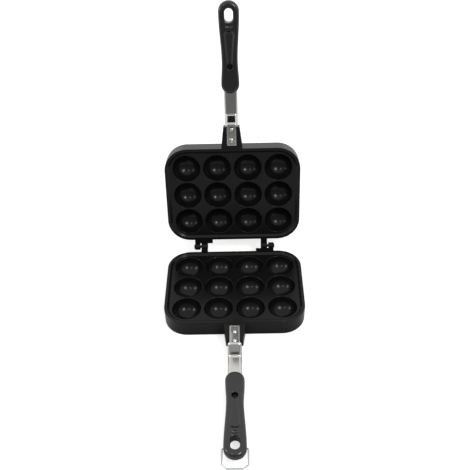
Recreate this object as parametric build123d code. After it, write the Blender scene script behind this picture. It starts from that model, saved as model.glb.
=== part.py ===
from build123d import *
import os
from math import cos, radians, sin, tan

# Hinged takoyaki pan: two equal die-cast halves, each with a steel bracket and a moulded grip.
# Origin: centre of the lower half's base. +X right, +Y towards the hinges, +Z up. Millimetres.
# Both halves are drawn the same way up. The upper one is then turned over and swung open.

# Casting, seen as the lower half: base at z 0, parting plane at half_height
pan_width = 205.0
pan_depth = 152.3
corner_radius = 34.6
half_height = 26.5
parting_gap = 0.3
wall_draft_deg = 1.0
base_edge_round = 2.4
skirt_wall = 3.8
rim_band = 4.2
rim_bevel_deg = 40.0
rim_edge_round = 0.8
recess_depth = 2.7
plate_thickness = 3.0

# Moulds; each is a little shallower than half a ball, with a web of plate between two moulds
cavity_columns = 4
cavity_rows = 3
cavity_margin_x = 9.9
cavity_margin_y = 9.7
cavity_web = 2.3
cavity_shallower = 1.0
cavity_lip_round = 0.7
dome_wall = 2.6

# Hinges
open_angle_deg = 102.7
hinge_setback = 11.85
pin_diameter = 4.5
pin_running_gap = 0.05
pin_press = 0.01
eye_radius = 5.0
inner_lug_start = 42.0
inner_lug_width = 10.0
lug_gap = 2.0
outer_lug_width = 8.0
shelf_inner_end = 34.0
shelf_reach = 6.2
shelf_thickness = 4.0
lug_root_depth = 12.0
stop_gap = 0.2
stop_nose_rise = 8.6
stop_nose_thickness = 3.6
stop_nose_slope = 1.0
stop_nose_sink = 1.0
stop_nose_neck = 2.0
pin_head_diameter = 7.0
pin_head_thickness = 1.2
pin_end_gap = 0.3
pin_tail_chamfer = 0.5

# Handle boss on the front wall; drops are measured down from the parting plane
boss_length = 33.0
boss_root_width = 32.0
boss_tip_width = 24.0
boss_face_drop = 1.2
boss_tip_drop = 12.6
boss_root_drop = 21.0
boss_edge_round = 1.6

# Steel bracket
sheet = 1.6
tongue_width = 14.4
tongue_start = 4.0
tongue_floor_drop = 7.6
tongue_fit_gap = 0.25
rivet_first = 11.0
rivet_spacing = 16.3
rivet_head_diameter = 8.0
rivet_head_height = 2.6
rivet_shank_diameter = 4.0
rivet_tail_height = 1.0
rivet_tail_diameter = 6.0
rivet_tail_gap = 0.6
rivet_hole_diameter = 4.1
boss_floor_thickness = 3.2
neck_width = 19.5
tongue_edge_round = 0.5
neck_edge_round = 4.0
neck_depth = 4.8
neck_start = 34.0
shoulder_end = 37.8
shoulder_drop = 1.6
bend_reach = 46.4
arm_drop = 17.0
shoulder_round = 5.6
bend_round = 4.0
arm_in_grip = 9.0
tang_width = 13.0
tang_beyond_screw = 10.0

# Grip; stations are measured out from the front wall
grip_start = 81.0
grip_end = 210.4
grip_bulge_width = 26.0
grip_waist_at = 117.0
grip_waist_width = 23.4
grip_wide_width = 29.0
grip_face_drop = 5.5
grip_tip_thickness = 13.0
grip_root_thickness = 19.2
grip_waist_thickness = 17.8
grip_edge_round = 4.5
socket_gap = 0.15
hang_hole_from_tip = 19.4
hang_hole_length = 19.4
hang_hole_width = 12.0
hang_hole_edge_round = 1.4
screw_at = 120.8
screw_pocket_diameter = 9.0
screw_head_diameter = 7.4
screw_head_height = 2.6
screw_head_drop = 8.6
screw_head_round = 1.0
screw_diameter = 4.0
screw_hole_diameter = 4.3
screw_tail = 0.6
thread_gap = 0.05
screw_slot_width = 1.1
screw_slot_depth = 1.3
nut_across_flats = 7.0
nut_thickness = 2.4
nut_pocket_gap = 0.2
groove_end_from_tip = 39.4
groove_start_width = 7.6
groove_end_width = 16.0
groove_end_bow = 4.8
groove_depth = 2.2
groove_side_deg = 55.0
groove_floor_round = 1.6
groove_edge_round = 0.8
dent_edge_round = 0.4
dent_from_tip = 33.8
dent_radius = 9.0
dent_depth = 1.8
dent_width = 8.4

# Locking bail, a bent wire that swings in the lower grip's side holes
wire_diameter = 2.0
wire_running_gap = 0.06
bail_from_tip = 14.0
bail_inside_width = 30.4
bail_leg = 32.0
bail_corner = 6.0
bail_bend_round = 1.8
bail_pivot_depth = 4.0
bail_side_gap = 1.0
bail_rise_deg = 12.0

# Cuts run this far past the surface that they open
overrun = 1.0

# Worked out from the sizes above
front = -pan_depth / 2
back = pan_depth / 2
rim_z = half_height - parting_gap / 2
plate_z = half_height - recess_depth
hinge_y = back + hinge_setback
hinge_z = half_height
cavity_pitch_x = (pan_width - 2 * cavity_margin_x) / cavity_columns
cavity_pitch_y = (pan_depth - 2 * cavity_margin_y) / cavity_rows
cavity_radius = (min(cavity_pitch_x, cavity_pitch_y) - cavity_web) / 2
cavity_depth = cavity_radius - cavity_shallower
sphere_radius = (cavity_radius**2 + cavity_depth**2) / (2 * cavity_depth)
sphere_z = plate_z - cavity_depth + sphere_radius
outer_lug_start = inner_lug_start + inner_lug_width + lug_gap
outer_lug_end = outer_lug_start + outer_lug_width
tongue_top = half_height - tongue_floor_drop
recess_floor = tongue_top - sheet
boss_top = half_height - boss_face_drop
arm_top = half_height - arm_drop
tang_bottom = arm_top - sheet
grip_face = half_height - grip_face_drop
grip_tip_back = grip_face - grip_tip_thickness
grip_middle = grip_face - grip_tip_thickness / 2
rivet_seat = recess_floor - boss_floor_thickness
screw_seat = half_height - screw_head_drop - screw_head_height
hang_hole_at = grip_end - hang_hole_from_tip
groove_end = grip_end - groove_end_from_tip
dent_at = grip_end - dent_from_tip
dent_squeeze = dent_width / (2 * dent_radius)
bail_y = front - (grip_end - bail_from_tip)


def side_sketch(*points):
    """Closed outline of (y, z) points in the plane that cuts the object front to back."""
    return Plane.YZ * make_face(Polyline(*points, close=True))


def out(station):
    """Y of a point that lies a station in front of the front wall."""
    return front - station


def across(side, half_width):
    """Solid of a side outline, as wide to the left as to the right."""
    return Pos(-half_width, 0, 0) * extrude(side, amount=2 * half_width, dir=(1, 0, 0))


def block(x_low, x_high, y_low, y_high, z_low, z_high):
    size = (x_high - x_low, y_high - y_low, z_high - z_low)
    return Pos(x_low, y_low, z_low) * Box(*size, align=(Align.MIN, Align.MIN, Align.MIN))


def rod_x(radius, x_low, x_high, y, z):
    """Round bar along X."""
    middle = Pos((x_low + x_high) / 2, y, z)
    return middle * Rot(0, 90, 0) * Cylinder(radius, x_high - x_low)


def rod_z(radius, x, y, z_low, z_high):
    """Round bar along Z."""
    return Pos(x, y, (z_low + z_high) / 2) * Cylinder(radius, z_high - z_low)


def edges_within(shape, half_width, y_low, y_high, z_low, z_high):
    """Edges that lie in a box, with a little slack; the box is centred on X."""
    slack = 0.5

    def inside(edge):
        box = edge.bounding_box()
        return (
            max(-box.min.X, box.max.X) < half_width + slack
            and y_low - slack < box.min.Y
            and box.max.Y < y_high + slack
            and z_low - slack < box.min.Z
            and box.max.Z < z_high + slack
        )

    return shape.edges().filter_by(inside)


def over_and_open(shape):
    """Turn a piece of the lower half over and swing it open, as the lid's."""
    turned = Pos(0, 0, half_height) * Rot(0, 180, 0) * Pos(0, 0, -half_height)
    swung = Pos(0, hinge_y, hinge_z) * Rot(-open_angle_deg, 0, 0) * Pos(0, -hinge_y, -hinge_z)
    return swung * turned * shape


def cavity_centres():
    for column in range(cavity_columns):
        for row in range(cavity_rows):
            x = (column - (cavity_columns - 1) / 2) * cavity_pitch_x
            y = (row - (cavity_rows - 1) / 2) * cavity_pitch_y
            yield x, y


def drafted_slab(width, depth, corner, z_top, height, draft):
    """Rounded slab below z_top whose sides close in by the draft angle on the way down."""
    outline = Pos(0, 0, z_top) * RectangleRounded(width, depth, corner)
    return extrude(outline, amount=-height, taper=draft)


def pan_shell():
    """Skirt, rim, sunk plate and the domes that hold the moulds, hollow from below."""
    shell = drafted_slab(pan_width, pan_depth, corner_radius, rim_z, rim_z, wall_draft_deg)
    shell = fillet(shell.edges().group_by(Axis.Z)[0], base_edge_round)
    shell = fillet(shell.edges().group_by(Axis.Z)[-1], rim_edge_round)
    closing_in = 2 * rim_z * tan(radians(wall_draft_deg))
    hollow_width = pan_width - closing_in - 2 * skirt_wall
    hollow_depth = pan_depth - closing_in - 2 * skirt_wall
    hollow_corner = corner_radius - closing_in / 2 - skirt_wall
    hollow = extrude(
        RectangleRounded(hollow_width, hollow_depth, hollow_corner),
        amount=plate_z - plate_thickness,
    )
    shell -= hollow
    above_base = block(-pan_width, pan_width, -pan_depth, pan_depth, 0, plate_z)
    for x, y in cavity_centres():
        dome = Pos(x, y, sphere_z) * Sphere(sphere_radius + dome_wall)
        shell += dome & above_base
    shell -= drafted_slab(
        pan_width - 2 * rim_band,
        pan_depth - 2 * rim_band,
        corner_radius - rim_band,
        rim_z,
        rim_z - plate_z,
        90 - rim_bevel_deg,
    )
    for x, y in cavity_centres():
        shell -= Pos(x, y, sphere_z) * Sphere(sphere_radius)
    lips = shell.edges().filter_by(GeomType.CIRCLE).filter_by(
        lambda edge: abs(edge.center().Z - plate_z) < 0.01
        and abs(edge.radius - cavity_radius) < 0.01
    )
    return fillet(lips, cavity_lip_round)


def hinge_arm(x_low, x_high):
    """Lug that reaches from the back wall to an eye round the hinge axis."""
    eye_diagonal = eye_radius * cos(radians(45))
    arm = side_sketch(
        (back - skirt_wall / 2, rim_z),
        (hinge_y, rim_z),
        (hinge_y + eye_diagonal, hinge_z - eye_diagonal),
        (hinge_y, hinge_z - eye_radius),
        (back - skirt_wall / 2, rim_z - lug_root_depth),
    )
    lug = Pos(x_low, 0, 0) * extrude(arm, amount=x_high - x_low, dir=(1, 0, 0))
    return lug + rod_x(eye_radius, x_low, x_high, hinge_y, hinge_z)


def stop_nose(x_low, x_high):
    """Nose behind the eye that the other half's shelf meets when the pan is fully open."""
    swing = radians(open_angle_deg)
    along = (sin(swing), cos(swing))
    up = (-cos(swing), sin(swing))

    def corner(across, rise):
        y = hinge_y + across * along[0] + rise * up[0]
        z = hinge_z + across * along[1] + rise * up[1]
        return y, z

    face = parting_gap / 2 + shelf_thickness + stop_gap
    heel = face + stop_nose_thickness
    nose = side_sketch(
        corner(face, stop_nose_rise),
        corner(heel, stop_nose_rise - stop_nose_slope),
        corner(heel, -stop_nose_sink),
        corner(0, -stop_nose_sink),
        corner(0, stop_nose_neck),
        corner(face, stop_nose_neck),
    )
    return Pos(x_low, 0, 0) * extrude(nose, amount=x_high - x_low, dir=(1, 0, 0))


def add_hinges(shell):
    """Inner lug with its stop nose on the left; outer lug and shelf on the right."""
    inner_low = -inner_lug_start - inner_lug_width
    inner_high = -inner_lug_start
    shell += hinge_arm(inner_low, inner_high)
    shell += stop_nose(inner_low, inner_high)
    shell += hinge_arm(outer_lug_start, outer_lug_end)
    return shell + block(
        shelf_inner_end,
        outer_lug_end,
        back - skirt_wall / 2,
        back + shelf_reach,
        rim_z - shelf_thickness,
        rim_z,
    )


def rivet_places():
    return [out(rivet_first), out(rivet_first + rivet_spacing)]


def handle_boss():
    """Tapered lug on the front wall that carries the bracket."""
    root = front + skirt_wall / 2
    tip = out(boss_length)
    half_root = boss_root_width / 2
    half_tip = boss_tip_width / 2
    plan = make_face(
        Polyline((-half_root, root), (-half_tip, tip), (half_tip, tip), (half_root, root), close=True)
    )
    side = side_sketch(
        (root, boss_top),
        (tip, boss_top),
        (tip, half_height - boss_tip_drop),
        (root, half_height - boss_root_drop),
    )
    boss = extrude(plan, amount=half_height) & across(side, boss_root_width)
    standing = boss.edges().filter_by(Axis.Z).group_by(Axis.Y)[0]
    boss = fillet(standing, boss_edge_round)
    for y in rivet_places():
        boss -= rod_z(rivet_tail_diameter / 2 + rivet_tail_gap, 0, y, 0, rivet_seat)
    return boss


def boss_pocket():
    """Channel in the boss, open towards the other half, that the bracket's tongue lies in."""
    side = tongue_width / 2 + tongue_fit_gap
    return block(
        -side,
        side,
        out(boss_length + overrun),
        out(tongue_start - tongue_fit_gap),
        recess_floor,
        half_height + overrun,
    )


def pan_casting(bore_radius):
    """One half of the pan, with hinge bores to suit a pressed or a turning pin."""
    casting = add_hinges(pan_shell())
    casting += handle_boss()
    casting -= boss_pocket()
    casting -= rod_x(bore_radius, -pan_width / 2, pan_width / 2, hinge_y, hinge_z)
    for y in rivet_places():
        casting -= rod_z(rivet_hole_diameter / 2, 0, y, -overrun, recess_floor + overrun)
    return casting


def hinge_pin():
    """Right-hand pin, with its head beside the outer lug."""
    tail = inner_lug_start - pin_end_gap
    seat = outer_lug_end + pin_end_gap
    pin = rod_x(pin_diameter / 2, tail, seat, hinge_y, hinge_z)
    pin = chamfer(pin.edges().group_by(Axis.X)[0], pin_tail_chamfer)
    head = rod_x(pin_head_diameter / 2, seat, seat + pin_head_thickness, hinge_y, hinge_z)
    head = fillet(head.edges().group_by(Axis.X)[-1], pin_head_thickness / 2)
    return pin + head


def rivet(y):
    """Domed head on the tongue's floor, shank through the boss, set tail below."""
    dome_radius = ((rivet_head_diameter / 2) ** 2 + rivet_head_height**2) / (2 * rivet_head_height)
    dome = Pos(0, y, tongue_top + rivet_head_height - dome_radius) * Sphere(dome_radius)
    reach = rivet_head_diameter
    head = dome & block(-reach, reach, y - reach, y + reach, tongue_top, half_height)
    tail_z = rivet_seat - rivet_tail_height
    tail = rod_z(rivet_tail_diameter / 2, 0, y, tail_z, rivet_seat)
    tail = fillet(tail.edges().group_by(Axis.Z)[0], rivet_tail_height / 2)
    return head + rod_z(rivet_shank_diameter / 2, 0, y, rivet_seat, tongue_top) + tail


def tongue():
    """Shallow tray at the bracket's inner end, riveted into the boss."""
    half_width = tongue_width / 2
    wall_top = half_height - shoulder_drop
    tray = block(
        -half_width, half_width, out(neck_start + sheet), out(tongue_start), recess_floor, wall_top
    )
    tray = fillet(tray.edges().filter_by(Axis.Z).group_by(Axis.Y)[-1], sheet)
    tray -= block(
        sheet - half_width,
        half_width - sheet,
        out(neck_start),
        out(tongue_start + sheet),
        tongue_top,
        half_height,
    )
    for y in rivet_places():
        tray -= rod_z(rivet_hole_diameter / 2, 0, y, recess_floor - overrun, tongue_top + overrun)
    return tray


def channel_section(width, depth, top_drop, corner):
    """Section of a bent sheet with its top a drop below the neck's top face."""
    start = Plane(
        origin=(0, out(neck_start), half_height - shoulder_drop), x_dir=(1, 0, 0), z_dir=(0, -1, 0)
    )
    bar = Rectangle(width, depth, align=(Align.CENTER, Align.MAX))
    bar = fillet(bar.vertices().group_by(Axis.Y)[-1], corner)
    return start * Pos(0, -top_drop) * bar


def neck():
    """Inverted channel that steps down from the boss and runs out to the grip."""
    top = half_height - shoulder_drop
    end = grip_start + arm_in_grip
    path = FilletPolyline(
        (0, out(neck_start), top),
        (0, out(shoulder_end), top),
        (0, out(bend_reach), arm_top),
        (0, out(end), arm_top),
        radius=[shoulder_round, bend_round],
    )
    outer = channel_section(neck_width, neck_depth, 0, neck_edge_round)
    inner = channel_section(
        neck_width - 2 * sheet, neck_depth, sheet, neck_edge_round - sheet
    )
    closed_end = extrude(outer, amount=sheet)
    return sweep(outer - inner, path=path) + closed_end


def bracket():
    """Tongue, neck and the flat tang inside the grip, pressed from one sheet."""
    tang = block(
        -tang_width / 2,
        tang_width / 2,
        out(screw_at + tang_beyond_screw),
        out(grip_start + arm_in_grip - sheet),
        tang_bottom,
        arm_top,
    )
    screw_hole = rod_z(
        screw_hole_diameter / 2, 0, out(screw_at), tang_bottom - overrun, arm_top + overrun
    )
    whole = tongue() + neck() + tang - screw_hole
    wall_top = half_height - shoulder_drop
    tongue_rim = edges_within(whole, tongue_width / 2, out(neck_start), front, wall_top, wall_top)
    return fillet(tongue_rim, tongue_edge_round)


def grip_outline():
    """Plan of the grip: round ends, a waist behind the screw, widest at the hanging hole."""
    half_bulge = grip_bulge_width / 2
    half_wide = grip_wide_width / 2
    bulge_y = out(grip_start + half_bulge)
    wide_y = out(grip_end - half_wide)
    along = (0, -1)
    right = Spline(
        (half_bulge, bulge_y),
        (grip_waist_width / 2, out(grip_waist_at)),
        (half_wide, wide_y),
        tangents=[along, along],
    )
    start_arc = ThreePointArc((-half_bulge, bulge_y), (0, out(grip_start)), (half_bulge, bulge_y))
    end_arc = ThreePointArc((half_wide, wide_y), (0, out(grip_end)), (-half_wide, wide_y))
    left = mirror(right, about=Plane.YZ)
    return make_face([start_arc, right, end_arc, left])


def grip_blank():
    """Rounded body of the grip, flat towards the other half and hollowed for the fingers."""
    beyond = grip_bulge_width
    belly = Plane.YZ * Spline(
        (out(grip_start - beyond), grip_face - grip_root_thickness),
        (out(grip_start), grip_face - grip_root_thickness),
        (out(grip_waist_at), grip_face - grip_waist_thickness),
        (out(hang_hole_at), grip_tip_back),
        (out(grip_end + beyond), grip_tip_back),
    )
    edge = Plane.YZ * Polyline(
        (out(grip_end + beyond), grip_tip_back),
        (out(grip_end + beyond), grip_face),
        (out(grip_start - beyond), grip_face),
        (out(grip_start - beyond), grip_face - grip_root_thickness),
    )
    side = across(make_face([belly, edge]), grip_wide_width)
    body = extrude(grip_outline(), amount=half_height) & side
    face_loop = body.edges().group_by(Axis.Z)[-1]
    belly_loop = body.faces().sort_by(Axis.Z)[0].edges()
    return fillet(face_loop + belly_loop, grip_edge_round)


def thumb_groove():
    """Tapered hollow along the grip's face, from the screw towards the hanging hole."""
    narrow = groove_start_width / 2
    wide = groove_end_width / 2
    shoulder_y = out(groove_end - groove_end_bow)
    outline = make_face(
        [
            Polyline(
                (-wide, shoulder_y),
                (-narrow, out(screw_at)),
                (narrow, out(screw_at)),
                (wide, shoulder_y),
            ),
            ThreePointArc((wide, shoulder_y), (0, out(groove_end)), (-wide, shoulder_y)),
        ]
    )
    hollow = extrude(Pos(0, 0, grip_face) * outline, amount=-groove_depth, taper=groove_side_deg)
    return fillet(hollow.edges().group_by(Axis.Z)[0], groove_floor_round)


def grip():
    """Moulded grip with its socket, screw and nut pockets, groove and hanging hole."""
    body = grip_blank()
    half_socket = neck_width / 2 + socket_gap
    body -= block(
        -half_socket,
        half_socket,
        out(grip_start + arm_in_grip + socket_gap),
        out(grip_start - overrun),
        arm_top - neck_depth - socket_gap,
        arm_top + socket_gap,
    )
    half_tang = tang_width / 2 + socket_gap
    body -= block(
        -half_tang,
        half_tang,
        out(screw_at + tang_beyond_screw + socket_gap),
        out(grip_start),
        tang_bottom - socket_gap,
        arm_top + socket_gap,
    )
    screw_y = out(screw_at)
    body -= rod_z(screw_pocket_diameter / 2, 0, screw_y, screw_seat, half_height)
    body -= rod_z(screw_hole_diameter / 2, 0, screw_y, tang_bottom, half_height)
    nut_pocket = RegularPolygon(nut_across_flats / 2 + nut_pocket_gap, 6, major_radius=False)
    body -= extrude(Pos(0, screw_y, 0) * nut_pocket, amount=tang_bottom)
    body -= thumb_groove()
    slot = Rot(0, 0, 90) * SlotOverall(hang_hole_length, hang_hole_width)
    body -= extrude(Pos(0, out(hang_hole_at), 0) * slot, amount=half_height)
    hollow = scale(Sphere(dent_radius), by=(1, dent_squeeze, 1))
    body -= Pos(0, out(dent_at), grip_face + dent_radius - dent_depth) * hollow
    return soften_grip(body)


def soften_grip(body):
    """Round the rims of the hanging hole, the groove with its screw pocket, and the dent."""
    hole_low = out(hang_hole_at + hang_hole_length / 2)
    hole_high = out(hang_hole_at - hang_hole_length / 2)
    for z in (grip_face, grip_tip_back):
        rim = edges_within(body, hang_hole_width / 2, hole_low, hole_high, z, z)
        body = fillet(rim, hang_hole_edge_round)
    groove_high = out(screw_at - screw_pocket_diameter / 2)
    groove_rim = edges_within(
        body, groove_end_width / 2, out(groove_end), groove_high, grip_face, grip_face
    )
    body = fillet(groove_rim, groove_edge_round)
    dent_low = out(dent_at + dent_width / 2)
    dent_high = out(dent_at - dent_width / 2)
    dent_rim = edges_within(body, dent_radius, dent_low, dent_high, grip_face, grip_face)
    return fillet(dent_rim, dent_edge_round)


def grip_screw():
    """Slotted pan-head screw at the bottom of the grip's round pocket."""
    y = out(screw_at)
    top = screw_seat + screw_head_height
    head = rod_z(screw_head_diameter / 2, 0, y, screw_seat, top)
    head = fillet(head.edges().group_by(Axis.Z)[-1], screw_head_round)
    head -= block(
        -screw_head_diameter,
        screw_head_diameter,
        y - screw_slot_width / 2,
        y + screw_slot_width / 2,
        top - screw_slot_depth,
        top + overrun,
    )
    tail_z = tang_bottom - nut_thickness - screw_tail
    return head + rod_z(screw_diameter / 2, 0, y, tail_z, screw_seat)


def grip_nut():
    """Hexagon nut under the tang, in the pocket on the grip's outer face."""
    blank = RegularPolygon(nut_across_flats / 2, 6, major_radius=False)
    ring = blank - Circle(screw_diameter / 2 + thread_gap)
    return extrude(Pos(0, out(screw_at), tang_bottom - nut_thickness) * ring, amount=nut_thickness)


def pivot_tips():
    """X of the bail's inturned ends, inside the grip's side holes."""
    return bail_inside_width / 2 - bail_side_gap - bail_pivot_depth


def locking_bail():
    """Wire loop at rest, lying out past the grip's end with its ends in the grip."""
    leg_x = bail_inside_width / 2 + wire_diameter / 2
    rise = radians(bail_rise_deg)

    def point(x, reach):
        return x, bail_y - reach * cos(rise), grip_middle + reach * sin(rise)

    corners = [
        (pivot_tips(), 0),
        (leg_x, 0),
        (leg_x, bail_leg - bail_corner),
        (leg_x - bail_corner, bail_leg),
    ]
    points = [point(x, reach) for x, reach in corners]
    points += [point(-x, reach) for x, reach in reversed(corners)]
    path = FilletPolyline(*points, radius=bail_bend_round)
    return sweep(Plane(origin=path @ 0, z_dir=path % 0) * Circle(wire_diameter / 2), path=path)


def bail_holes():
    """Blind side holes that the bail's ends turn in."""
    radius = wire_diameter / 2 + wire_running_gap
    inner = pivot_tips() - wire_running_gap
    outer = grip_wide_width
    return rod_x(radius, inner, outer, bail_y, grip_middle) + rod_x(
        radius, -outer, -inner, bail_y, grip_middle
    )


def main():
    os.makedirs("parts", exist_ok=True)
    pressed_bore = pin_diameter / 2 - pin_press
    running_bore = pin_diameter / 2 + pin_running_gap
    steel = bracket()
    handle = grip()
    first, second = rivet_places()
    pin = hinge_pin()
    pieces = {
        "lower_pan": pan_casting(pressed_bore),
        "upper_pan": over_and_open(pan_casting(running_bore)),
        "hinge_pin_right": pin,
        "hinge_pin_left": mirror(pin, about=Plane.YZ),
        "locking_bail": locking_bail(),
        "lower_grip": handle - bail_holes(),
        "upper_grip": over_and_open(handle),
    }
    shared = {
        "bracket": steel,
        "rivet_inner": rivet(first),
        "rivet_outer": rivet(second),
        "grip_screw": grip_screw(),
        "grip_nut": grip_nut(),
    }
    for name, shape in shared.items():
        pieces["lower_" + name] = shape
        pieces["upper_" + name] = over_and_open(shape)
    for name, shape in pieces.items():
        export_step(shape, f"parts/{name}.step")


main()
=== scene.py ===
import math

import bmesh
import bpy
from mathutils import Matrix, Vector

bl_info = {
    "name": "Takoyaki pan finish",
    "version": (1, 0, 0),
    "blender": (4, 5, 0),
    "location": "3D View > Sidebar > Takoyaki pan",
    "description": "Finishes a hinged double takoyaki pan: coated castings, steel, moulded grips",
    "category": "Object",
}

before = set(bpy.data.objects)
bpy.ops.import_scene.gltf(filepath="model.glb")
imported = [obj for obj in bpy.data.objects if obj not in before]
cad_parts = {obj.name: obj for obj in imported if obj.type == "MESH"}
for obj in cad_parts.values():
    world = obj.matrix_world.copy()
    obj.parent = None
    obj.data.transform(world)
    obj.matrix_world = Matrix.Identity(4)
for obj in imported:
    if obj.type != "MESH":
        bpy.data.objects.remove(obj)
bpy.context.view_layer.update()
MM = 0.001
HALVES = ("lower", "upper")

# Refractive indices of the two black skins
PTFE_IOR = 1.3
PHENOLIC_IOR = 1.6

# Sizes of the marks in the finishes
CLOUD_SIZE = 28 * MM
LINE_LENGTH = 30 * MM
SCUFF_SIZE = 0.4 * MM

# Depths of the reliefs in the finishes
PEEL_DEPTH = 0.05 * MM
LINE_DEPTH = 0.005 * MM
WAVE_DEPTH = 0.05 * MM

# How much glossier and duller than its setting each finish gets in places
COATING_GLOSSIER = 0.05
COATING_DULLER = 0.06
STEEL_GLOSSIER = 0.03
STEEL_DULLER = 0.05
GRIP_DULLER = 0.1

# The same for the small metal parts, as shares of their roughness
HARDWARE_GLOSSIER = 0.9
HARDWARE_DULLER = 1.2

# Table top: its colour, radius and sides, and how far the camera sees it lifted towards white
FLOOR_COLOUR = "#dcdcda"
FLOOR_RADIUS = 1.3
FLOOR_SIDES = 96
FLOOR_LIFT = 0.6

# Points that the softboxes face: the middle of the floor, and the open lid
FLOOR_MIDDLE = (0.0, 0.0, 0.0)
LID_AIM = (0.0, 0.13, 0.12)

# Width of the camera's sensor in millimetres, which the lens goes with
SENSOR_WIDTH = 36.0

# Strength of the surround in diffuse light
SOFT_LIGHT = 0.55

# Grey front of the surround, in parts of the unit direction looked in. Along Y it starts and
# is full at the first two; along Z it is full below the third and gone above the fourth
GREY_STARTS_AT = -0.2
GREY_FULL_AT = -0.6
GREY_BELOW = 0.72
WHITE_ABOVE = 0.92

# Its strength at the horizon, its strength higher up, and the height where it gets there
HORIZON_GREY = 0.18
UPPER_GREY = 0.42
UPPER_GREY_AT = 0.15


def linear(hex_colour):
    """An sRGB hex value such as #1b1b1c, as linear red, green, blue and alpha."""
    digits = hex_colour.lstrip("#")
    channels = [int(digits[i:i + 2], 16) / 255 for i in (0, 2, 4)]
    curve = [c / 12.92 if c <= 0.04045 else ((c + 0.055) / 1.055) ** 2.4 for c in channels]
    return (*curve, 1.0)


# Settings that a user would change


class CoatingSettings(bpy.types.PropertyGroup):
    """Sprayed non-stick coating on the castings."""

    colour: bpy.props.StringProperty(
        name="Colour", description="sRGB hex of the coating", default="#0e0e0f"
    )
    roughness: bpy.props.FloatProperty(
        name="Roughness", description="How satin the coating is", default=0.22, min=0.0, max=1.0
    )
    grain: bpy.props.FloatProperty(
        name="Spray grain",
        description="Spacing of the orange peel that the spray leaves",
        default=0.7 * MM,
        unit="LENGTH",
    )


class SteelSettings(bpy.types.PropertyGroup):
    """Pressed and polished stainless sheet."""

    colour: bpy.props.StringProperty(
        name="Colour", description="sRGB hex of the steel", default="#cfcecb"
    )
    roughness: bpy.props.FloatProperty(
        name="Roughness", description="Polish of the steel", default=0.09, min=0.0, max=1.0
    )
    line_spacing: bpy.props.FloatProperty(
        name="Polishing lines",
        description="Spacing of the lines left by the polishing belt",
        default=0.25 * MM,
        unit="LENGTH",
    )


class GripSettings(bpy.types.PropertyGroup):
    """Compression-moulded phenolic grips."""

    colour: bpy.props.StringProperty(
        name="Colour", description="sRGB hex of the moulding", default="#0d0d0e"
    )
    roughness: bpy.props.FloatProperty(
        name="Roughness", description="Gloss of the moulding", default=0.2, min=0.0, max=1.0
    )
    flow: bpy.props.FloatProperty(
        name="Flow mottle",
        description="Size of the faint waves on the moulded skin",
        default=2.2 * MM,
        unit="LENGTH",
    )


class StageSettings(bpy.types.PropertyGroup):
    """Camera, lamps and floor."""

    azimuth: bpy.props.FloatProperty(
        name="Azimuth",
        description="Turn of the camera round the pan",
        default=math.radians(0.92),
        subtype="ANGLE",
    )
    elevation: bpy.props.FloatProperty(
        name="Elevation",
        description="Height of the camera above the horizon",
        default=math.radians(40.29),
        subtype="ANGLE",
    )
    roll: bpy.props.FloatProperty(
        name="Roll", description="Tilt of the picture", default=math.radians(-1.65), subtype="ANGLE"
    )
    distance: bpy.props.FloatProperty(
        name="Distance", description="Camera to target", default=0.72323, unit="LENGTH"
    )
    target: bpy.props.FloatVectorProperty(
        name="Target",
        description="Point that the camera looks at",
        default=(0.00642, -0.21438, 0.30584),
        subtype="TRANSLATION",
    )
    lens: bpy.props.FloatProperty(
        name="Lens", description="Focal length in millimetres", default=54.64
    )
    overhead: bpy.props.FloatProperty(
        name="Overhead light", description="Power of the big overhead softbox, in watts", default=5.5
    )


# Shader helpers; a Mix node keeps its two colours and their result after its other sockets
COLOUR_SOCKETS = slice(6, 8)
COLOUR_RESULT = 2


def add_node(tree, kind, settings=None, inputs=None):
    """A shader node with its settings, and its sockets set or linked by name."""
    node = tree.nodes.new(kind)
    for name, value in (settings or {}).items():
        setattr(node, name, value)
    for name, value in (inputs or {}).items():
        if isinstance(value, bpy.types.NodeSocket):
            tree.links.new(value, node.inputs[name])
        else:
            node.inputs[name].default_value = value
    return node


def noise(tree, place, size, detail):
    """Noise whose waves are about as wide as the size given, in metres."""
    settings = {"Vector": place, "Scale": 1 / size, "Detail": detail}
    return add_node(tree, "ShaderNodeTexNoise", None, settings).outputs["Fac"]


def spread(tree, value, low, high, start=0.3, end=0.7):
    """A value that runs from low to high as another runs from start to end."""
    limits = {"Value": value, "From Min": start, "From Max": end, "To Min": low, "To Max": high}
    return add_node(tree, "ShaderNodeMapRange", None, limits).outputs["Result"]


def shades(tree, factor, hex_colour, dark, light):
    """A colour that varies between a darker and a lighter shade of itself."""
    base = Vector(linear(hex_colour)[:3])
    mix = add_node(tree, "ShaderNodeMix", {"data_type": "RGBA"}, {"Factor": factor})
    for socket, shade in zip(mix.inputs[COLOUR_SOCKETS], (dark, light)):
        socket.default_value = (*(base * shade), 1.0)
    return mix.outputs[COLOUR_RESULT]


def bump(tree, height, strength, depth):
    """Normals of a relief as deep as the depth given, in metres."""
    settings = {"Height": height, "Strength": strength, "Distance": depth}
    return add_node(tree, "ShaderNodeBump", None, settings).outputs["Normal"]


def larger(tree, first, second):
    """The larger of two values."""
    return add_node(
        tree, "ShaderNodeMath", {"operation": "MAXIMUM"}, {0: first, 1: second}
    ).outputs[0]


def product(tree, first, second):
    """Two values multiplied."""
    return add_node(
        tree, "ShaderNodeMath", {"operation": "MULTIPLY"}, {0: first, 1: second}
    ).outputs[0]


def new_material(name):
    """An empty material and its tree, with an output node."""
    material = bpy.data.materials.new(name)
    material.use_nodes = True
    tree = material.node_tree
    tree.nodes.clear()
    return material, tree, add_node(tree, "ShaderNodeOutputMaterial")


def finish_material(tree, output, shader):
    """Link a shader to the material's surface."""
    tree.links.new(shader.outputs[0], output.inputs["Surface"])


def give_material(obj, material):
    """Make a material the only one on an object."""
    obj.data.materials.clear()
    obj.data.materials.append(material)


# Finishes


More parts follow.
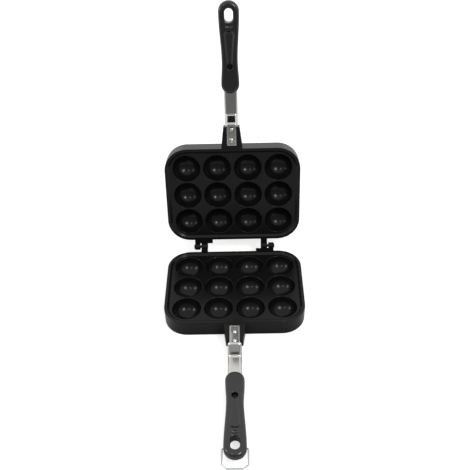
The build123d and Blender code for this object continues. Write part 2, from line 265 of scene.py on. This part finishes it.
def sprayed_nonstick_coating():
    """PTFE coating sprayed on a die casting: satin black with a fine orange peel."""
    look = bpy.context.scene.takoyaki_coating
    material, tree, output = new_material("ptfe_nonstick_coating_sprayed")
    place = add_node(tree, "ShaderNodeTexCoord").outputs["Object"]
    peel = noise(tree, place, look.grain, detail=3.0)
    # Cloudy patches a few centimetres wide, where the spray lies a little thicker
    cloud = noise(tree, place, CLOUD_SIZE, detail=2.0)
    glossiest = look.roughness - COATING_GLOSSIER
    dullest = look.roughness + COATING_DULLER
    shader = add_node(
        tree,
        "ShaderNodeBsdfPrincipled",
        None,
        {
            "Base Color": shades(tree, cloud, look.colour, dark=0.8, light=1.25),
            "Roughness": spread(tree, peel, glossiest, dullest),
            "Normal": bump(tree, peel, strength=0.35, depth=PEEL_DEPTH),
            "IOR": PTFE_IOR,
        },
    )
    finish_material(tree, output, shader)
    return material


def polished_stainless():
    """Belt-polished stainless sheet: bright, with faint lines along the arm."""
    look = bpy.context.scene.takoyaki_steel
    material, tree, output = new_material("stainless_304_belt_polished")
    place = add_node(tree, "ShaderNodeTexCoord").outputs["Object"]
    # Only X changes fast, so the lines run along the arm at any tilt of the lid
    scale = (1 / look.line_spacing, 1 / LINE_LENGTH, 1 / LINE_LENGTH)
    stretch = add_node(tree, "ShaderNodeMapping", None, {"Vector": place, "Scale": scale})
    lines = noise(tree, stretch.outputs["Vector"], size=1.0, detail=2.0)
    glossiest = look.roughness - STEEL_GLOSSIER
    dullest = look.roughness + STEEL_DULLER
    shader = add_node(
        tree,
        "ShaderNodeBsdfPrincipled",
        None,
        {
            "Base Color": linear(look.colour),
            "Metallic": 1.0,
            "Roughness": spread(tree, lines, glossiest, dullest),
            "Normal": bump(tree, lines, strength=0.1, depth=LINE_DEPTH),
        },
    )
    finish_material(tree, output, shader)
    return material


def bright_metal(name, colour, roughness, mottle, tarnish):
    """Finish of small headed or drawn metal parts: a faint mottle of tarnish breaks the gloss."""
    material, tree, output = new_material(name)
    place = add_node(tree, "ShaderNodeTexCoord").outputs["Object"]
    spots = noise(tree, place, mottle, detail=3.0)
    glossiest = roughness * HARDWARE_GLOSSIER
    dullest = roughness * HARDWARE_DULLER
    shader = add_node(
        tree,
        "ShaderNodeBsdfPrincipled",
        None,
        {
            "Base Color": shades(tree, spots, colour, dark=1 - tarnish, light=1.0),
            "Metallic": 1.0,
            "Roughness": spread(tree, spots, glossiest, dullest),
        },
    )
    finish_material(tree, output, shader)
    return material


def moulded_phenolic():
    """Compression-moulded phenolic: glossy black with faint flow waves and hairline scuffs."""
    look = bpy.context.scene.takoyaki_grip
    material, tree, output = new_material("phenolic_compression_moulded")
    place = add_node(tree, "ShaderNodeTexCoord").outputs["Object"]
    waves = noise(tree, place, look.flow, detail=1.0)
    scuffs = noise(tree, place, SCUFF_SIZE, detail=4.0)
    dullest = look.roughness + GRIP_DULLER
    shader = add_node(
        tree,
        "ShaderNodeBsdfPrincipled",
        None,
        {
            "Base Color": shades(tree, scuffs, look.colour, dark=0.85, light=1.2),
            "Roughness": spread(tree, scuffs, look.roughness, dullest),
            "Normal": bump(tree, waves, strength=0.12, depth=WAVE_DEPTH),
            "IOR": PHENOLIC_IOR,
        },
    )
    finish_material(tree, output, shader)
    return material


# Operators, one for each piece or group of like pieces


class TAKOYAKI_OT_coat_castings(bpy.types.Operator):
    """Give both cast halves their sprayed non-stick coating"""

    bl_idname = "takoyaki.coat_castings"
    bl_label = "Coat the castings"

    def execute(self, context):
        coating = sprayed_nonstick_coating()
        for half in HALVES:
            give_material(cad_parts[f"{half}_pan"], coating)
        return {"FINISHED"}


class TAKOYAKI_OT_polish_brackets(bpy.types.Operator):
    """Give both pressed brackets their polished stainless"""

    bl_idname = "takoyaki.polish_brackets"
    bl_label = "Polish the brackets"

    def execute(self, context):
        steel = polished_stainless()
        for half in HALVES:
            give_material(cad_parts[f"{half}_bracket"], steel)
        return {"FINISHED"}


class TAKOYAKI_OT_mould_grips(bpy.types.Operator):
    """Give both moulded grips their glossy phenolic"""

    bl_idname = "takoyaki.mould_grips"
    bl_label = "Mould the grips"

    def execute(self, context):
        phenolic = moulded_phenolic()
        for half in HALVES:
            give_material(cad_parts[f"{half}_grip"], phenolic)
        return {"FINISHED"}


class TAKOYAKI_OT_fit_hardware(bpy.types.Operator):
    """Finish the rivets, screws, nuts, hinge pins and the bail"""

    bl_idname = "takoyaki.fit_hardware"
    bl_label = "Fit the hardware"

    def execute(self, context):
        rivet_metal = bright_metal(
            "rivet_steel_burnished", "#dedddb", roughness=0.14, mottle=0.8 * MM, tarnish=0.15
        )
        plated = bright_metal(
            "steel_zinc_plated", "#8f8f90", roughness=0.34, mottle=0.6 * MM, tarnish=0.25
        )
        # Dark steel for the grip screws: its dark colour is painted shade of the screw pocket. The
        # hinge pins use the same dark steel
        painted_pocket_shade_steel = bright_metal(
            "steel_dark_painted_pocket_shade", "#303031", roughness=0.24, mottle=0.6 * MM, tarnish=0.3
        )
        wire = bright_metal(
            "steel_wire_bright_drawn", "#d6d6d8", roughness=0.2, mottle=1.2 * MM, tarnish=0.1
        )
        for half in HALVES:
            for place in ("inner", "outer"):
                give_material(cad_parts[f"{half}_rivet_{place}"], rivet_metal)
            give_material(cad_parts[f"{half}_grip_screw"], painted_pocket_shade_steel)
            give_material(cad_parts[f"{half}_grip_nut"], plated)
        for side in ("left", "right"):
            give_material(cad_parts[f"hinge_pin_{side}"], painted_pocket_shade_steel)
        give_material(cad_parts["locking_bail"], wire)
        return {"FINISHED"}


class TAKOYAKI_OT_set_stage(bpy.types.Operator):
    """Lay the pale floor, set the soft lamps and place the camera"""

    bl_idname = "takoyaki.set_stage"
    bl_label = "Set the stage"

    def execute(self, context):
        look = context.scene.takoyaki_stage
        lay_floor()
        set_world()
        place_camera(look)
        for lamp in lamp_plan(look):
            add_softbox(*lamp)
        context.scene.view_settings.view_transform = "Standard"
        return {"FINISHED"}


def lamp_plan(look):
    """Each softbox in metres and watts: name, place, aim, size, power, and if gloss shows it."""
    return [
        ("overhead_softbox", (0.0, 0.35, 1.3), FLOOR_MIDDLE, (1.4, 1.2), look.overhead, False),
        ("right_softbox", (0.47, -0.59, 0.92), LID_AIM, (0.24, 0.24), 4.0, True),
        ("left_softbox", (-0.37, -0.63, 0.96), LID_AIM, (0.18, 0.18), 0.8, True),
        ("far_left_softbox", (-1.03, -0.22, 0.62), LID_AIM, (0.24, 0.24), 2.0, True),
    ]


def add_softbox(name, place, aim, size, power, in_gloss):
    """Rectangular lamp that faces its aim, reflected by gloss only where in_gloss says so."""
    lamp = bpy.data.lights.new(name, "AREA")
    lamp.shape = "RECTANGLE"
    lamp.size, lamp.size_y = size
    lamp.energy = power
    obj = bpy.data.objects.new(name, lamp)
    obj.location = place
    obj.visible_glossy = in_gloss
    obj.rotation_euler = (Vector(aim) - Vector(place)).to_track_quat("-Z", "Y").to_euler()
    bpy.context.scene.collection.objects.link(obj)


def place_camera(look):
    """Camera turned and raised about its target, rolled a little as the picture is."""
    az, el, roll = look.azimuth, look.elevation, look.roll
    away = Vector((math.sin(az) * math.cos(el), -math.cos(az) * math.cos(el), math.sin(el)))
    right = Vector((math.cos(az), math.sin(az), 0))
    up = away.cross(right)
    across = right * math.cos(roll) + up * math.sin(roll)
    upward = up * math.cos(roll) - right * math.sin(roll)
    turn = Matrix((across, upward, away)).transposed().to_4x4()
    data = bpy.data.cameras.new("camera")
    data.lens = look.lens
    data.sensor_width = SENSOR_WIDTH
    camera = bpy.data.objects.new("camera", data)
    camera.matrix_world = Matrix.Translation(Vector(look.target) + away * look.distance) @ turn
    bpy.context.scene.collection.objects.link(camera)
    bpy.context.scene.camera = camera


def lay_floor():
    """Plain pale table top that keeps the pan's soft shadow."""
    material, tree, output = new_material("stage_floor_matt_paint")
    rays = add_node(tree, "ShaderNodeLightPath")
    table_top = add_node(
        tree, "ShaderNodeBsdfDiffuse", None, {"Color": linear(FLOOR_COLOUR), "Roughness": 1.0}
    )
    # Lifts the table to white for the camera, and leaves room for the shadow
    strength = product(tree, rays.outputs["Is Camera Ray"], FLOOR_LIFT)
    lift = add_node(
        tree, "ShaderNodeEmission", None, {"Color": (1, 1, 1, 1), "Strength": strength}
    )
    both = add_node(tree, "ShaderNodeAddShader")
    tree.links.new(table_top.outputs[0], both.inputs[0])
    tree.links.new(lift.outputs[0], both.inputs[1])
    finish_material(tree, output, both)
    mesh = bpy.data.meshes.new("stage_floor")
    shape = bmesh.new()
    bmesh.ops.create_circle(shape, cap_ends=True, segments=FLOOR_SIDES, radius=FLOOR_RADIUS)
    shape.to_mesh(mesh)
    shape.free()
    floor = bpy.data.objects.new("stage_floor", mesh)
    bpy.context.scene.collection.objects.link(floor)
    give_material(floor, material)


def set_world():
    """White surround, weaker in diffuse light, with a grey front that only the gloss sees."""
    world = bpy.data.worlds.new("studio")
    world.use_nodes = True
    tree = world.node_tree
    tree.nodes.clear()
    rays = add_node(tree, "ShaderNodeLightPath")
    seen = larger(tree, rays.outputs["Is Camera Ray"], rays.outputs["Is Glossy Ray"])
    seen = larger(tree, seen, rays.outputs["Is Transmission Ray"])
    lit = spread(tree, seen, SOFT_LIGHT, 1.0, 0.0, 1.0)
    place = add_node(tree, "ShaderNodeTexCoord").outputs["Generated"]
    way = add_node(tree, "ShaderNodeSeparateXYZ", None, {"Vector": place})
    forward = spread(tree, way.outputs["Y"], 0.0, 1.0, GREY_STARTS_AT, GREY_FULL_AT)
    below_lamps = spread(tree, way.outputs["Z"], 1.0, 0.0, GREY_BELOW, WHITE_ABOVE)
    room = spread(tree, way.outputs["Z"], HORIZON_GREY, UPPER_GREY, 0.0, UPPER_GREY_AT)
    greyed = product(tree, product(tree, forward, below_lamps), rays.outputs["Is Glossy Ray"])
    strength = spread(tree, greyed, lit, room, 0.0, 1.0)
    background = add_node(
        tree, "ShaderNodeBackground", None, {"Color": (1, 1, 1, 1), "Strength": strength}
    )
    output = add_node(tree, "ShaderNodeOutputWorld")
    tree.links.new(background.outputs[0], output.inputs["Surface"])
    world.cycles.sampling_method = "NONE"
    bpy.context.scene.world = world


class TAKOYAKI_PT_sidebar(bpy.types.Panel):
    """The pan's finishing steps and their settings"""

    bl_idname = "TAKOYAKI_PT_sidebar"
    bl_label = "Takoyaki pan"
    bl_space_type = "VIEW_3D"
    bl_region_type = "UI"
    bl_category = "Takoyaki pan"

    def draw(self, context):
        for step in STEPS:
            self.layout.operator(step.bl_idname, text=step.bl_label)
        for name in SETTINGS:
            box = self.layout.box()
            group = getattr(context.scene, name)
            for key in group.__annotations__:
                box.prop(group, key)


STEPS = (
    TAKOYAKI_OT_set_stage,
    TAKOYAKI_OT_coat_castings,
    TAKOYAKI_OT_polish_brackets,
    TAKOYAKI_OT_mould_grips,
    TAKOYAKI_OT_fit_hardware,
)
SETTINGS = {
    "takoyaki_coating": CoatingSettings,
    "takoyaki_steel": SteelSettings,
    "takoyaki_grip": GripSettings,
    "takoyaki_stage": StageSettings,
}


def register():
    for group in SETTINGS.values():
        bpy.utils.register_class(group)
    for step in (*STEPS, TAKOYAKI_PT_sidebar):
        bpy.utils.register_class(step)
    for name, group in SETTINGS.items():
        setattr(bpy.types.Scene, name, bpy.props.PointerProperty(type=group))


def unregister():
    for name in SETTINGS:
        delattr(bpy.types.Scene, name)
    for step in (TAKOYAKI_PT_sidebar, *reversed(STEPS)):
        bpy.utils.unregister_class(step)
    for group in reversed(SETTINGS.values()):
        bpy.utils.unregister_class(group)


def main():
    register()
    for step in STEPS:
        category, name = step.bl_idname.split(".")
        getattr(getattr(bpy.ops, category), name)()


if __name__ == "__main__":
    main()
